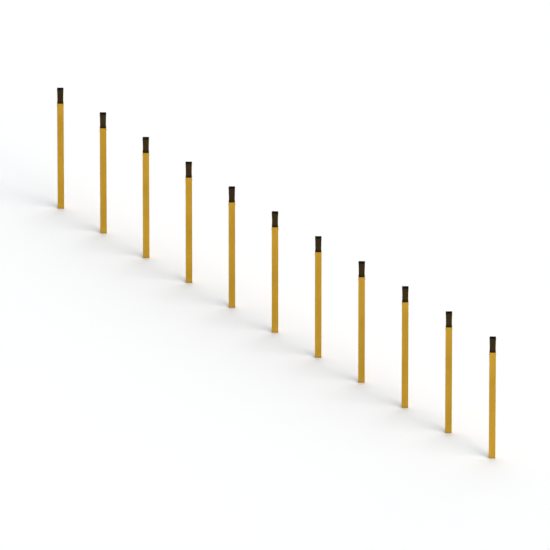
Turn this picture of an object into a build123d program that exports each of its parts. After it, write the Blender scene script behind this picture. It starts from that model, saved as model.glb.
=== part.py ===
"""Weave poles for dog agility: a straight row of upright poles that lift out of ground sockets.

Frame: millimetres, +Z up, with Z = 0 at ground level. The origin is on the axis of the middle
pole, and the row runs along X. Everything below Z = 0 stands in the ground.
"""
import os

from build123d import *

# ---------------------------------------------------------------- driving dimensions
pole_count = 11
pole_spacing = 500.0
pole_turn = 45.0            # angle between the row and a pole's wide faces, in degrees

tube_width = 54.0
tube_depth = 40.0
tube_wall = 5.0
tube_edge_radius = 1.5
tube_height = 1056.0        # from the ground to the tube's upper end
tube_buried = 300.0         # from the ground to the tube's lower end
tube_end_chamfer = 0.8

cap_height = 137.0          # what shows above the tube
cap_top_inset = 0.3         # from a tube face to the cap's face, at the cap's top
cap_neck_inset = 2.4        # the same at the cap's neck
cap_neck_height = 54.0
cap_rim = 4.0               # width of the rim round the dished top
cap_dish_depth = 9.0
cap_roof = 6.0              # thickness left under the dished top
cap_edge_radius = 1.6
cap_corner_radius = 2.5

spigot_length = 64.0
spigot_wall = 4.0
spigot_clearance = 0.15     # from the spigot to the inside of the tube, on each side
spigot_lead_in = 1.5

screw_depth_below_top = 30.0
screw_diameter = 4.8
screw_length = 16.0
screw_head_diameter = 9.4
screw_head_height = 3.4
screw_head_radius = 1.5     # of the rounding round the head
screw_drive_width = 3.8
screw_drive_depth = 1.9
screw_drive_sides = 6
screw_hole_clearance = 0.2  # on the radius, in the tube

plug_flange = 5.0
plug_length = 45.0
plug_wall = 4.0
plug_groove_width = 2.0
plug_groove_depth = 0.8
plug_groove_places = (0.35, 0.65)    # as shares of the plug's length
drain_diameter = 10.0

guide_clearance = 0.5       # from a tube face to the guide plate's hole, on each side
guide_thickness = 6.0
guide_rim = 2.0             # from the guide hole's corners to the inside of the sleeve, at least
sleeve_wall = 3.2
base_thickness = 6.0

# ---------------------------------------------------------------- sizes that follow
bore_width = tube_width - 2 * tube_wall
bore_depth = tube_depth - 2 * tube_wall
spigot_width = bore_width - 2 * spigot_clearance
spigot_depth = bore_depth - 2 * spigot_clearance
cap_top = tube_height + cap_height
tube_foot = -tube_buried
plug_bottom = tube_foot - plug_flange
screw_level = tube_height - screw_depth_below_top

guide_width = tube_width + 2 * guide_clearance
guide_depth = tube_depth + 2 * guide_clearance
guide_diagonal = (guide_width ** 2 + guide_depth ** 2) ** 0.5
sleeve_inner_radius = guide_diagonal / 2 + guide_rim
sleeve_radius = sleeve_inner_radius + sleeve_wall
base_bottom = plug_bottom - base_thickness

row_start = -pole_spacing * (pole_count - 1) / 2
station_places = [row_start + pole_spacing * index for index in range(pole_count)]


def station_location(along_row):
    """The frame of one pole: its axis on the row, its wide faces turned to the row."""
    return Location((along_row, 0, 0), (0, 0, pole_turn))


def write(solid, label):
    solid.label = label
    export_step(solid, f"parts/{label}.step")


# ---------------------------------------------------------------- the pieces of one pole
def make_tube():
    """The rectangular tube, open at both ends, drilled through its narrow sides."""
    with BuildPart() as tube:
        with BuildSketch(Plane.XY.offset(tube_foot)):
            RectangleRounded(tube_width, tube_depth, tube_edge_radius)
            Rectangle(bore_width, bore_depth, mode=Mode.SUBTRACT)
        extrude(amount=tube_height - tube_foot)
        outer_rims = tube.faces().sort_by(Axis.Z)[-1].outer_wire().edges()
        chamfer(outer_rims, length=tube_end_chamfer)
        with BuildSketch(Plane.YZ.offset(-tube_width / 2)):
            with Locations((0, screw_level)):
                Circle(screw_diameter / 2 + screw_hole_clearance)
        extrude(amount=tube_width, mode=Mode.SUBTRACT)
    return tube.part


def make_cap():
    """The moulded cap: a straight neck, a flare up to the dished top, and a hollow spigot."""
    neck_width = tube_width - 2 * cap_neck_inset
    neck_depth = tube_depth - 2 * cap_neck_inset
    top_width = tube_width - 2 * cap_top_inset
    top_depth = tube_depth - 2 * cap_top_inset
    neck_top = tube_height + cap_neck_height
    with BuildPart() as cap:
        with BuildSketch(Plane.XY.offset(tube_height)):
            RectangleRounded(neck_width, neck_depth, cap_corner_radius)
        extrude(amount=cap_neck_height)
        with BuildSketch(Plane.XY.offset(neck_top)):
            RectangleRounded(neck_width, neck_depth, cap_corner_radius)
        with BuildSketch(Plane.XY.offset(cap_top)):
            RectangleRounded(top_width, top_depth, cap_corner_radius)
        loft()
        crown = cap.faces().sort_by(Axis.Z)[-1]
        fillet(crown.outer_wire().edges(), radius=cap_edge_radius)
        with BuildSketch(Plane.XY.offset(cap_top)):
            RectangleRounded(top_width - 2 * cap_rim, top_depth - 2 * cap_rim, cap_corner_radius)
        extrude(amount=-cap_dish_depth, mode=Mode.SUBTRACT)

        with BuildSketch(Plane.XY.offset(tube_height)):
            Rectangle(spigot_width, spigot_depth)
        extrude(amount=-spigot_length)
        spigot_end = cap.faces().sort_by(Axis.Z)[0]
        chamfer(spigot_end.edges(), length=spigot_lead_in)
        with BuildSketch(Plane.XY.offset(tube_height - spigot_length)):
            Rectangle(spigot_width - 2 * spigot_wall, spigot_depth - 2 * spigot_wall)
        extrude(amount=spigot_length + cap_height - cap_dish_depth - cap_roof, mode=Mode.SUBTRACT)
        with BuildSketch(Plane.YZ.offset(-tube_width / 2)):
            with Locations((0, screw_level)):
                Circle(screw_diameter / 2)
        extrude(amount=tube_width, mode=Mode.SUBTRACT)
    return cap.part


def make_screws():
    """The two pan-head screws that hold the cap, one in each narrow side of the tube."""
    with BuildPart() as screws:
        for side in (-1, 1):
            seat = Plane(origin=(side * tube_width / 2, 0, screw_level), x_dir=(0, 1, 0),
                         z_dir=(side, 0, 0))
            with BuildSketch(seat):
                Circle(screw_head_diameter / 2)
            extrude(amount=screw_head_height)
            head = screws.faces().sort_by(Axis.X)[-1 if side > 0 else 0]
            fillet(head.edges(), radius=screw_head_radius)
            with BuildSketch(seat):
                Circle(screw_diameter / 2)
            extrude(amount=-screw_length)
            with BuildSketch(seat.offset(screw_head_height)):
                RegularPolygon(screw_drive_width / 2, screw_drive_sides)
            extrude(amount=-screw_drive_depth, mode=Mode.SUBTRACT)
    return screws.part


def make_foot_plug():
    """The plug in the tube's lower end: a flange under the wall and a grooved hollow spigot."""
    with BuildPart() as plug:
        with BuildSketch(Plane.XY.offset(plug_bottom)):
            RectangleRounded(tube_width, tube_depth, tube_edge_radius)
        extrude(amount=plug_flange)
        chamfer(plug.faces().sort_by(Axis.Z)[0].edges(), length=tube_end_chamfer)
        with BuildSketch(Plane.XY.offset(tube_foot)):
            Rectangle(spigot_width, spigot_depth)
        extrude(amount=plug_length)
        chamfer(plug.faces().sort_by(Axis.Z)[-1].edges(), length=spigot_lead_in)
        for share in plug_groove_places:
            with BuildSketch(Plane.XY.offset(tube_foot + plug_length * share)):
                Rectangle(spigot_width, spigot_depth)
                Rectangle(spigot_width - 2 * plug_groove_depth,
                          spigot_depth - 2 * plug_groove_depth, mode=Mode.SUBTRACT)
            extrude(amount=plug_groove_width, mode=Mode.SUBTRACT)
        with BuildSketch(Plane.XY.offset(tube_foot)):
            Rectangle(spigot_width - 2 * plug_wall, spigot_depth - 2 * plug_wall)
        extrude(amount=plug_length, mode=Mode.SUBTRACT)
        with BuildSketch(Plane.XY.offset(plug_bottom)):
            Circle(drain_diameter / 2)
        extrude(amount=plug_flange, mode=Mode.SUBTRACT)
    return plug.part


# ---------------------------------------------------------------- the pieces of one socket
def make_sleeve():
    """The round sleeve that stands in the ground, its upper end flush with the surface."""
    with BuildPart() as sleeve:
        with BuildSketch(Plane.XY.offset(base_bottom)):
            Circle(sleeve_radius)
            Circle(sleeve_inner_radius, mode=Mode.SUBTRACT)
        extrude(amount=-base_bottom)
    return sleeve.part


def make_guide_plate():
    """The disc welded in the sleeve's mouth, with the rectangular hole that guides the tube."""
    with BuildPart() as guide:
        with BuildSketch(Plane.XY):
            Circle(sleeve_inner_radius)
            RectangleRounded(guide_width, guide_depth, tube_edge_radius + guide_clearance,
                             mode=Mode.SUBTRACT)
        extrude(amount=-guide_thickness)
    return guide.part


def make_base_plate():
    """The disc welded in the sleeve's lower end, which carries the pole and lets water out."""
    with BuildPart() as base:
        with BuildSketch(Plane.XY.offset(base_bottom)):
            Circle(sleeve_inner_radius)
            Circle(drain_diameter / 2, mode=Mode.SUBTRACT)
        extrude(amount=base_thickness)
    return base.part


# ---------------------------------------------------------------- the row
os.makedirs("parts", exist_ok=True)

tube_solid = make_tube()
cap_solid = make_cap()
screw_solids = make_screws()
plug_solid = make_foot_plug()
sleeve_solid = make_sleeve()
guide_solid = make_guide_plate()
base_solid = make_base_plate()

repeated_pieces = {
    "pole_tube": tube_solid,
    "top_cap": cap_solid,
    "cap_screws": screw_solids,
    "foot_plug": plug_solid,
    "ground_sleeve": sleeve_solid,
}
for number, along_row in enumerate(station_places, start=1):
    place = station_location(along_row)
    for name, solid in repeated_pieces.items():
        write(place * solid, f"{name}_{number:02d}")

for label, solid in (("socket_guide_plates", guide_solid), ("socket_base_plates", base_solid)):
    copies = [station_location(along_row) * solid for along_row in station_places]
    write(Compound(children=copies), label)
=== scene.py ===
# %% [markdown]
# # Weave poles
# A straight row of poles stands in ground sleeves, and a dog runs in and out between them.
# Each pole is a drawn plastic tube of rectangular section, with a moulded rubber cap on top.
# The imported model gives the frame, so every place below is read from it and nothing is fitted.

# %% Load the frame
import math

import bmesh
import bpy
from mathutils import Matrix, Vector


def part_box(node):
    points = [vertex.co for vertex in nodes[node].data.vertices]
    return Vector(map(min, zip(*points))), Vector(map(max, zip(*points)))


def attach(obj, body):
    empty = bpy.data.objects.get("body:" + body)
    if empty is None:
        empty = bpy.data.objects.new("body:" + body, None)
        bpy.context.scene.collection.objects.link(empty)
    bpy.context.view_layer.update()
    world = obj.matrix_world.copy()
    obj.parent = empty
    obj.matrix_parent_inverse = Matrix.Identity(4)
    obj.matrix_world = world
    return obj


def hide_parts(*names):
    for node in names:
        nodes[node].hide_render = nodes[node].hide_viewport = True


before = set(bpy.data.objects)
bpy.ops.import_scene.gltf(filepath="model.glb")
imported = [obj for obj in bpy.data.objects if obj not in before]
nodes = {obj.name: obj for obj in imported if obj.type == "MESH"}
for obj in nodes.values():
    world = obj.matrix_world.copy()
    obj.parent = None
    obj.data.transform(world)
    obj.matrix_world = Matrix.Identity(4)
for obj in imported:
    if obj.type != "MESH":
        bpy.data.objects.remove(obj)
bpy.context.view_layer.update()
scene = bpy.context.scene

# %% Find the poles
numbers = sorted(name.split("_")[-1] for name in nodes if name.startswith("pole_tube_"))
middle = numbers[len(numbers) // 2]


def station_x(number):
    """The place of one pole's axis along the row."""
    low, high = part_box(f"pole_tube_{number}")
    return (low.x + high.x) / 2


spacing = station_x(numbers[1]) - station_x(numbers[0])
pole_turn = math.radians(45)
tube_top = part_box(f"pole_tube_{middle}")[1].z
cap_low, cap_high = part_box(f"top_cap_{middle}")
print("poles", len(numbers), "spacing", round(spacing, 4), "height", round(cap_high.z, 4))

# %% [markdown]
# ## Shader maths as plain expressions
# A node tree is easier to read when its maths looks like maths. `Socket` wraps one output and
# gives it +, -, * and /, and `Tree.node` is the one way that any other node is made. A long list
# of `nodes.new` and `links.new` lines would do the same, but nobody would see the pattern in it.

# %% A wrapper for one socket


class Socket:
    """One output of a node. Arithmetic on it adds Math nodes."""

    def __init__(self, tree, output):
        self.tree = tree
        self.output = output

    def math(self, operation, *others):
        return self.tree.node("ShaderNodeMath", {"operation": operation}, [self, *others])

    def __add__(self, other):
        return self.math("ADD", other)

    def __sub__(self, other):
        return self.math("SUBTRACT", other)

    def __mul__(self, other):
        return self.math("MULTIPLY", other)

    def __truediv__(self, other):
        return self.math("DIVIDE", other)

    def __rsub__(self, other):
        return self.tree.node("ShaderNodeMath", {"operation": "SUBTRACT"}, [other, self])

    __radd__ = __add__
    __rmul__ = __mul__

    def size(self):
        """The value without its sign."""
        return self.math("ABSOLUTE")

    def above(self, edge, width):
        """0 below the edge and 1 above it, with a soft step of the given width."""
        step = {"interpolation_type": "SMOOTHSTEP"}
        values = {"Value": self, "From Min": edge - width / 2, "From Max": edge + width / 2}
        return self.tree.node("ShaderNodeMapRange", step, values)

    def below(self, edge, width):
        return 1 - self.above(edge, width)


print("sockets add, subtract, multiply and divide")

# %% A wrapper for a node tree


class Tree:
    """A node tree that is written as expressions."""

    def __init__(self, node_tree):
        self.nodes = node_tree.nodes
        self.links = node_tree.links

    def node(self, kind, settings, values, output=0):
        """Makes a node: its settings first, then its sockets, by place or by name."""
        made = self.nodes.new(kind)
        for key, value in settings.items():
            setattr(made, key, value)
        pairs = values.items() if isinstance(values, dict) else enumerate(values)
        for key, value in pairs:
            self.feed(made.inputs[key], value)
        return Socket(self, made.outputs[output])

    def feed(self, place, value):
        if isinstance(value, Socket):
            self.links.new(value.output, place)
        else:
            place.default_value = value

    def place(self):
        """The point in the row frame, as x, y and z."""
        point = self.node("ShaderNodeTexCoord", {}, {}, "Object")
        return [self.node("ShaderNodeSeparateXYZ", {}, [point], axis) for axis in "XYZ"]

    def vector(self, x, y, z):
        return self.node("ShaderNodeCombineXYZ", {}, [x, y, z])

    def noise(self, vector, scale, detail=3.0):
        sockets = {"Vector": vector, "Scale": scale, "Detail": detail, "Roughness": 0.55}
        return self.node("ShaderNodeTexNoise", {}, sockets, "Fac")

    def mix(self, factor, first, second):
        """A colour that goes from the first to the second as the factor goes from 0 to 1."""
        sockets = {0: factor, 6: first, 7: second}
        return self.node("ShaderNodeMix", {"data_type": "RGBA"}, sockets, 2)


print("one method makes every other node")

# %% A finish, and its colours


class Finish(Tree):
    """A material with its Principled shader. Whatever is the same all over is set here."""

    def __init__(self, name, **constants):
        self.material = bpy.data.materials.new(name)
        self.material.use_nodes = True
        super().__init__(self.material.node_tree)
        self.shader = self.nodes["Principled BSDF"]
        for socket_name, value in constants.items():
            self.shader.inputs[socket_name.replace("_", " ")].default_value = value

    def cover(self, colour, roughness, height, depth):
        """Feeds the shader: the colour, the roughness and a relief of the given depth."""
        self.feed(self.shader.inputs["Base Color"], colour)
        self.feed(self.shader.inputs["Roughness"], roughness)
        relief = self.node("ShaderNodeBump", {}, {"Height": height, "Distance": depth})
        self.feed(self.shader.inputs["Normal"], relief)
        print("finish", self.material.name, "nodes", len(self.nodes))
        return self.material


def shade(red, green, blue):
    """A colour given in everyday 0 to 255 steps, as the linear values that shaders use."""
    steps = [value / 255 for value in (red, green, blue)]
    linear = [v / 12.92 if v <= 0.04045 else ((v + 0.055) / 1.055) ** 2.4 for v in steps]
    return (*linear, 1.0)


def paint(prefix, material):
    """Gives one material to every node whose name starts that way."""
    for name, piece in nodes.items():
        if name.startswith(prefix):
            piece.data.materials.clear()
            piece.data.materials.append(material)


print("a middle grey is", round(shade(128, 128, 128)[0], 3), "in linear light")

# %% [markdown]
# ## Places on a pole
# One material has to do for eleven poles. It could be copied for each, but it can also find the
# nearest pole itself: the place along the row is divided by the spacing and rounded. What is
# left is turned by 45 degrees, so that one axis crosses the wide face and the other the narrow.

# %% Places on a pole
MM = 0.001
tube = (54 * MM, 40 * MM)
half_width, half_depth = tube[0] / 2, tube[1] / 2


def pole_axes(tree):
    """The place on a pole: across its wide face, through its depth, up, and which pole it is."""
    x, y, z = tree.place()
    station = (x / spacing).math("ROUND")
    along = x - station * spacing
    across = along * math.cos(pole_turn) + y * math.sin(pole_turn)
    through = y * math.cos(pole_turn) - along * math.sin(pole_turn)
    return across, through, z, station


def edge_mask(across, through, reach):
    """1 close to a pole's upright corners and 0 on its flat faces."""
    wide = across.size().above(half_width - reach, reach)
    deep = through.size().above(half_depth - reach, reach)
    return wide * deep


print("a pole is", tube[0] / MM, "by", tube[1] / MM, "mm")

# %% [markdown]
# ## The tube's plastic
# The tube is drawn through a die, so its faint lines all run upwards. Noise that is stretched
# along the pole gives the lines, a slow noise gives the uneven ochre, and short pale scuffs show
# where dogs and hands brush past. The corners are rubbed paler. The lowest 90 mm is paler in
# speckles: dust, and also a painted light that lifts the shade at the foot. The lowest 30 mm is
# darker towards the ground, a painted contact shadow. A picture of plastic would do too, but a
# pattern that is worked out from the place on the pole has no seams and no end.

# %% The tube's plastic
dust_and_light_height = 90 * MM
contact_shade_height = 30 * MM
rubbed_reach = 2 * MM


def make_pole_plastic():
    tree = Finish("drawn_ochre_plastic", Specular_IOR_Level=0.28, IOR=1.47)
    across, through, z, station = pole_axes(tree)
    point = tree.vector(across, through, z + station)
    drawn = tree.noise(tree.vector(across * 900, through * 900, z * 5 + station * 7), 1.0, 2.0)
    slow = tree.noise(tree.vector(across * 7, through * 7, z * 2.5 + station * 3.1), 1.0)
    fine = tree.noise(point, 420.0, 2.0)
    rubbed = tree.noise(point, 38.0, 4.0).above(0.56, 0.12)
    brushed = tree.vector(across * 240, through * 240, z * 30 + station * 11)
    scuffed = tree.noise(brushed, 1.0, 4.0).above(0.68, 0.08)
    body = tree.mix(slow.above(0.5, 0.5), shade(184, 140, 23), shade(199, 153, 33))
    body = tree.mix(drawn.above(0.62, 0.3) * 0.25, body, shade(204, 159, 48))
    body = tree.mix(scuffed * 0.2, body, shade(214, 180, 96))
    corners = edge_mask(across, through, rubbed_reach)
    body = tree.mix(corners * rubbed * 0.3, body, shade(212, 174, 86))
    # Paler speckles over the lowest 90 mm: dust, and also painted light that lifts the shade at
    # the foot.
    dust_and_light = z.below(dust_and_light_height / 2, dust_and_light_height) * (fine * 0.8 + 0.1)
    body = tree.mix(dust_and_light * 0.6, body, shade(216, 172, 66))
    # Painted contact shadow: darker towards the ground over the lowest 30 mm.
    contact_shade = z.below(contact_shade_height / 2, contact_shade_height)
    body = tree.mix(contact_shade * 0.45, body, shade(146, 108, 44))
    gloss = 0.46 + drawn * 0.12 + slow * 0.08 + rubbed * 0.05 + scuffed * 0.1
    return tree.cover(body, gloss, drawn * 0.7 + fine * 0.3 - scuffed * 0.2, 0.25 * MM)


paint("pole_tube_", make_pole_plastic())

# %% [markdown]
# ## The cap's rubber
# The cap is moulded in dark brown rubber, with the fine even grain of a spark-eroded mould and
# a thin parting line down its narrow sides. Rubber hardly shines, so its specular level is low.
# The rim, the dish and the foot of the neck are painted darker still, as painted shade: the
# shade on the cap's top, in its dish and where the neck meets the tube. The grain could be
# modelled, but at a tenth of a millimetre only a bump can carry it.

# %% The cap's rubber
rim_band = 1.2 * MM           # the dark band at the very top
dish_reach = 12 * MM          # below the top, so that it covers the whole dish
dish_border = 3.5 * MM        # from the tube's sides in to the dish
soft_edge = 1 * MM
parting_width = 0.4 * MM
parting_start = 20 * MM       # from the middle of the wide face
neck_shade_height = 24 * MM        # at the foot of the neck
neck_shade_fade = 26 * MM


def make_cap_rubber():
    tree = Finish("moulded_brown_rubber", Specular_IOR_Level=0.1, IOR=1.45)
    across, through, z, station = pole_axes(tree)
    grain = tree.noise(tree.vector(across, through, z), 900.0, 2.0)
    slow = tree.noise(tree.vector(across * 12, through * 12, z * 8 + station * 2.3), 1.0)
    # Painted shade: the band at the top and the whole dish are masked here, for the shade on the
    # cap's top.
    rim = z.above(cap_high.z - rim_band, rim_band)
    dish = z.above(cap_high.z - dish_reach, soft_edge)
    dish = dish * across.size().below(half_width - dish_border, soft_edge)
    dish = dish * through.size().below(half_depth - dish_border, soft_edge)
    parting = through.size().below(parting_width, parting_width)
    parting = parting * across.size().above(parting_start, 2 * soft_edge)
    body = tree.mix(slow.above(0.5, 0.5), shade(50, 36, 10), shade(61, 45, 15))
    body = tree.mix(grain.above(0.66, 0.2) * 0.25, body, shade(78, 64, 38))
    body = tree.mix(parting * 0.4, body, shade(74, 58, 30))
    # Painted shade: the top band and the dish are made near black.
    body = tree.mix(rim.math("MAXIMUM", dish), body, shade(25, 19, 8))
    # Painted shade: darker where the neck meets the tube's end.
    neck_shade = z.below(tube_top + neck_shade_height, neck_shade_fade)
    body = tree.mix(neck_shade * 0.6, body, shade(26, 17, 4))
    gloss = 0.68 + grain * 0.14 - parting * 0.1
    return tree.cover(body, gloss, grain * 0.5 + parting, 0.3 * MM)


cap_rubber = make_cap_rubber()

# %% [markdown]
# ## The cap's shape
# A cap could be a box with bevels, but its walls are all one path: down the hollow of the spigot,
# round its end, up to the shoulder, up the neck and the flare, round the rim and into the dish.
# So the path is written down first, as the width, depth and height of every step. Each rounded
# edge is a few steps along a quarter turn.

# %% Sizes of the cap


def inset(size, amount):
    """A width and a depth made smaller by the same amount on every side."""
    return size[0] - 2 * amount, size[1] - 2 * amount


neck = inset(tube, 2.4 * MM)
neck_height = 54 * MM
neck_round = 0.8 * MM
top = inset(tube, 0.3 * MM)
top_round = 1.6 * MM
corner_radius = 2.5 * MM
rim_width = 4 * MM
dish_depth = 9 * MM
dish_draft = 1 * MM
dish_round = 1.2 * MM
tube_wall = 5 * MM
spigot_clearance = 0.15 * MM
spigot = inset(tube, tube_wall + spigot_clearance)
spigot_wall = 4 * MM
spigot_chamfer = 1.5 * MM
roof_thickness = 6 * MM
turn_steps = 5
flare_steps = 8
flare_slope = 0.6             # how steep the flare starts, where 1 is a straight flare
quarter_turn = [math.radians(90 * step / turn_steps) for step in range(turn_steps + 1)]
print("the cap stands", round((cap_high.z - tube_top) / MM, 1), "mm above the tube")

# %% The path inside and up to the neck


def spigot_path():
    """From the roof of the hollow, down inside the spigot and up outside it."""
    hollow = inset(spigot, spigot_wall)
    roof = cap_high.z - dish_depth - roof_thickness
    path = [(hollow, roof), (hollow, cap_low.z), (inset(spigot, spigot_chamfer), cap_low.z)]
    return path + [(spigot, cap_low.z + spigot_chamfer), (spigot, tube_top)]


def neck_path():
    """Out over the tube's end and round the neck's lower edge."""
    return [(inset(neck, neck_round * (1 - math.sin(turn))),
             tube_top + neck_round * (1 - math.cos(turn))) for turn in quarter_turn]


print("steps to the neck", len(spigot_path() + neck_path()))

# %% The path up the flare and into the dish


def flare_path():
    """Up the flare, which leaves the neck softly and then widens steadily."""
    low, high = tube_top + neck_height, cap_high.z - top_round
    path = []
    for step in range(flare_steps):
        share = step / flare_steps
        wider = flare_slope * share + (1 - flare_slope) * share * share
        size = [narrow + (wide - narrow) * wider for narrow, wide in zip(neck, top)]
        path.append((size, low + (high - low) * share))
    return path


def rim_path():
    """Round the rim's outer edge and its inner edge, then round into the dish's floor."""
    dish = inset(top, rim_width)
    high, floor = cap_high.z, cap_high.z - dish_depth
    path = [(inset(top, top_round * (1 - math.cos(turn))),
             high - top_round * (1 - math.sin(turn))) for turn in quarter_turn]
    path += [(inset(dish, dish_round * (math.sin(turn) - 1)),
              high - dish_round * (1 - math.cos(turn))) for turn in quarter_turn]
    path += [(inset(dish, dish_draft + dish_round * (1 - math.cos(turn))),
              floor + dish_round * (1 - math.sin(turn))) for turn in quarter_turn]
    return path


cap_path = spigot_path() + neck_path() + flare_path() + rim_path()
print("steps in the cap's path", len(cap_path))

# %% [markdown]
# ## Growing the cap
# The cap grows like a lathe with corners. It starts as one rounded rectangle, and each step
# extrudes the last face and gives it a new width, depth and height. Lofting between drawn
# outlines would make the same walls, but growing one face keeps every corner's edges in line.

# %% Operators that grow a shape


def rounded_rectangle(shape, size, height):
    """One upward face with its four corners rounded, centred on the pole's axis."""
    bmesh.ops.create_grid(shape, x_segments=1, y_segments=1, size=0.5)
    bmesh.ops.scale(shape, vec=(*neck, 1), verts=shape.verts)
    bmesh.ops.bevel(shape, geom=shape.verts[:], offset=corner_radius, segments=4, profile=0.5,
                    affect="VERTICES", material=-1)
    factors = (size[0] / neck[0], size[1] / neck[1], 1)
    bmesh.ops.scale(shape, vec=factors, verts=shape.verts)
    bmesh.ops.translate(shape, vec=(0, 0, height), verts=shape.verts)
    shape.faces.ensure_lookup_table()
    return shape.faces[0]


def grow(shape, face, old, new):
    """Extrudes a face and gives the new one another size and height."""
    (old_size, old_height), (new_size, new_height) = old, new
    face = bmesh.ops.extrude_discrete_faces(shape, faces=[face])["faces"][0]
    factors = (new_size[0] / old_size[0], new_size[1] / old_size[1], 1)
    bmesh.ops.scale(shape, vec=factors, verts=face.verts)
    bmesh.ops.translate(shape, vec=(0, 0, new_height - old_height), verts=face.verts)
    return face


print("a cap corner has radius", corner_radius / MM, "mm")

# %% Grow one cap


def make_cap_mesh():
    """A closed cap on the pole's axis, turned as the poles are."""
    shape = bmesh.new()
    face = rounded_rectangle(shape, *cap_path[0])
    for old, new in zip(cap_path, cap_path[1:]):
        face = grow(shape, face, old, new)
    open_edges = [edge for edge in shape.edges if edge.is_boundary]
    bmesh.ops.holes_fill(shape, edges=open_edges)
    bmesh.ops.recalc_face_normals(shape, faces=shape.faces)
    turned = Matrix.Rotation(pole_turn, 3, "Z")
    bmesh.ops.rotate(shape, cent=(0, 0, 0), matrix=turned, verts=shape.verts)
    print("cap faces", len(shape.faces), "volume", round(shape.calc_volume() * 1e6, 1), "cm3")
    mesh = bpy.data.meshes.new("cap")
    shape.to_mesh(mesh)
    shape.free()
    mesh.shade_smooth()
    mesh.set_sharp_from_angle(angle=math.radians(40))
    return mesh


cap_mesh = make_cap_mesh()

# %% Put a cap on every pole
for number in numbers:
    mesh = cap_mesh.copy()
    mesh.transform(Matrix.Translation((station_x(number), 0, 0)))
    mesh.materials.append(cap_rubber)
    cap = bpy.data.objects.new(f"cap_{number}", mesh)
    scene.collection.objects.link(cap)
    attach(cap, f"pole_{number}")
    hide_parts(f"top_cap_{number}")
print("caps", len(numbers))

# %% [markdown]
# ## The screws' steel
# Two pan-head screws hold each cap. They are plain stainless steel, turned and then tumbled, so
# they shine with a soft grain. Their shape is right in the frame, so they only need the metal.

# %% The screws' steel


def make_screw_steel():
    tree = Finish("stainless_steel", Metallic=1.0)
    turned = tree.noise(tree.vector(*tree.place()), 1500.0, 2.0)
    colour = tree.mix(turned, shade(176, 176, 174), shade(204, 204, 201))
    return tree.cover(colour, 0.28 + turned * 0.15, turned, 0.05 * MM)


paint("cap_screws_", make_screw_steel())

# %% [markdown]
# ## The sockets' galvanised steel
# Sleeves, guide plates and base plates are dipped in molten zinc, which freezes in flat
# crystals. A Voronoi pattern gives each crystal its own grey, and a slow noise adds the white
# bloom that wet ground leaves. The pattern runs on from one piece to the next, as zinc does
# over a weld.

# %% The sockets' galvanised steel


def make_galvanised_steel():
    tree = Finish("zinc_coated_steel", Metallic=0.85)
    point = tree.vector(*tree.place())
    crystal = tree.node("ShaderNodeTexVoronoi", {}, {"Vector": point, "Scale": 110.0}, "Color")
    grey = tree.node("ShaderNodeRGBToBW", {}, [crystal])
    bloom = tree.noise(point, 24.0, 4.0)
    body = tree.mix(grey, shade(140, 144, 147), shade(172, 176, 178))
    body = tree.mix(bloom.above(0.58, 0.2) * 0.4, body, shade(190, 190, 186))
    return tree.cover(body, 0.42 + grey * 0.15 + bloom * 0.1, bloom, 0.3 * MM)


galvanised = make_galvanised_steel()
for prefix in ("ground_sleeve_", "socket_"):
    paint(prefix, galvanised)

# %% [markdown]
# ## The foot plug's plastic
# The plug that closes a tube's lower end is black moulded plastic with a fine grain. It stays
# below ground, and shows only when a pole is out of its socket.

# %% The foot plug's plastic


def make_plug_plastic():
    tree = Finish("moulded_black_plastic")
    grain = tree.noise(tree.vector(*tree.place()), 700.0, 2.0)
    colour = tree.mix(grain, shade(30, 30, 31), shade(44, 44, 45))
    return tree.cover(colour, 0.5 + grain * 0.15, grain, 0.2 * MM)


paint("foot_plug_", make_plug_plastic())

# %% [markdown]
# ## The floor
# The row stands on a plain pale floor. It lies a millimetre above the sleeves' mouths, as turf or
# paving does, so the sockets stay out of sight. It is a stage, not part of the object. The ochre
# poles throw some yellow light on it, so its white leans a little to blue.

# %% The floor
floor_size = 60
floor_height = 1 * MM
floor_colour = shade(249, 250, 251)


def make_floor():
    shape = bmesh.new()
    bmesh.ops.create_grid(shape, x_segments=1, y_segments=1, size=floor_size)
    bmesh.ops.translate(shape, vec=(0, 0, floor_height), verts=shape.verts)
    mesh = bpy.data.meshes.new("floor")
    shape.to_mesh(mesh)
    shape.free()
    finish = Finish("floor_paint", Roughness=0.9, Base_Color=floor_colour)
    mesh.materials.append(finish.material)
    floor = bpy.data.objects.new("floor", mesh)
    scene.collection.objects.link(floor)
    return floor


print("floor", make_floor().dimensions[:2])

# %% [markdown]
# ## The light
# Soft light comes from behind the row and along it. Each pole throws a wide faint shadow, and
# the shadows of neighbours run together into one grey band at the poles' feet. Area lights would
# need careful places for a row five metres long. A sun gives the same light everywhere, and a
# wide angle makes it soft. Each sun's strength is its share of the light on the open floor, so
# shares that add up to 1 leave the floor just white. As outdoors, the suns are a little warm.

# %% The suns
scene.view_settings.view_transform = "Standard"
floor_white = floor_colour[1]
sun_tint = (1.08, 1.0, 0.92)
suns = {
    "behind": (0.39, 138, 43, 90),
    "right_end": (0.29, 14, 30, 45),
    "front_right": (0.15, 348, 39, 47),
}


def make_soft_sun(name, share, bearing, height, spread):
    """A wide soft light: its share of the light on the floor, and three angles in degrees."""
    bearing, height = math.radians(bearing), math.radians(height)
    data = bpy.data.lights.new(name, "SUN")
    data.energy = share / floor_white * math.pi / math.sin(height)
    data.angle = math.radians(spread)
    data.color = sun_tint
    lamp = bpy.data.objects.new(name, data)
    scene.collection.objects.link(lamp)
    level = math.cos(height)
    towards = Vector((math.cos(bearing) * level, math.sin(bearing) * level, math.sin(height)))
    lamp.rotation_euler = towards.to_track_quat("Z", "Y").to_euler()
    print("sun", name, "strength", round(data.energy, 2))


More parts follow.
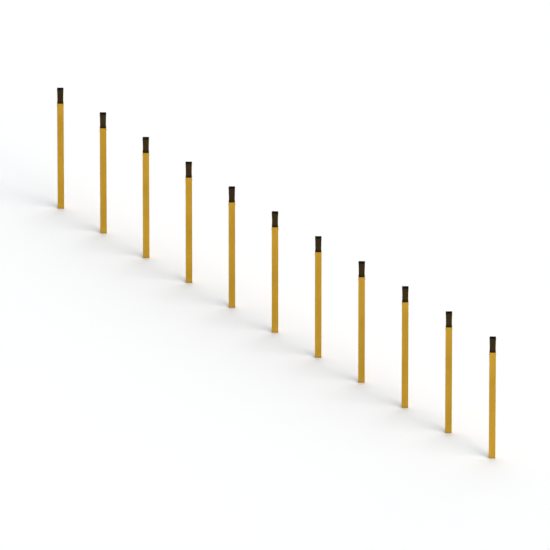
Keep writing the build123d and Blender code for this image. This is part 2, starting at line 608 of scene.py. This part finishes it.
for name, settings in suns.items():
    make_soft_sun(name, *settings)

# %% [markdown]
# ## The sky
# The rest of the light is an even sky. It is as blue as it takes to make the open floor white
# again, and where a pole hides a sun, that blue evens out the poles' own yellow light. Such a dim
# sky would look grey behind the poles, so the camera sees a white backdrop in its place.

# %% The sky
sky_share = 0.18
sun_share = sum(share for share, *angles in suns.values())
sky_tint = [1 + (1 - part) * sun_share / sky_share for part in sun_tint]
white = (1, 1, 1, 1)
world = bpy.data.worlds.new("studio")
world.use_nodes = True
tree = Tree(world.node_tree)
sky_strength = {"Color": (*sky_tint, 1), "Strength": sky_share / floor_white}
sky = tree.node("ShaderNodeBackground", {}, sky_strength)
backdrop = tree.node("ShaderNodeBackground", {}, {"Color": white, "Strength": 1})
camera_ray = tree.node("ShaderNodeLightPath", {}, {}, "Is Camera Ray")
choice = tree.node("ShaderNodeMixShader", {}, [camera_ray, sky, backdrop])
tree.feed(tree.nodes["World Output"].inputs["Surface"], choice)
scene.world = world
print("sky strength", round(sky_share / floor_white, 3))

# %% [markdown]
# ## The camera
# The view looks down the three axes at equal angles, from so far away that the row hardly
# narrows with distance: a long lens on a distant camera. A camera with no perspective at all
# would do for this view, but it keeps its scale when it moves in to look at something else.

# %% The camera
lens_length = 1650            # millimetres, as for any camera
sensor_width = 36
picture_width = 4.504         # metres across the picture, at the row
azimuth = math.radians(45)
elevation = math.atan(1 / math.sqrt(2))
aim = Vector((0, 0, 0.567))

level = math.cos(elevation)
towards_camera = Vector((math.sin(azimuth) * level, -math.cos(azimuth) * level,
                         math.sin(elevation)))
camera_data = bpy.data.cameras.new("camera")
camera_data.lens = lens_length
camera_data.sensor_width = sensor_width
distance = picture_width * lens_length / sensor_width
camera_data.clip_start = distance / 2
camera_data.clip_end = distance * 2
camera = bpy.data.objects.new("camera", camera_data)
scene.collection.objects.link(camera)
camera.location = aim + towards_camera * distance
camera.rotation_euler = towards_camera.to_track_quat("Z", "Y").to_euler()
scene.camera = camera
print("camera distance", round(distance, 1), "m")
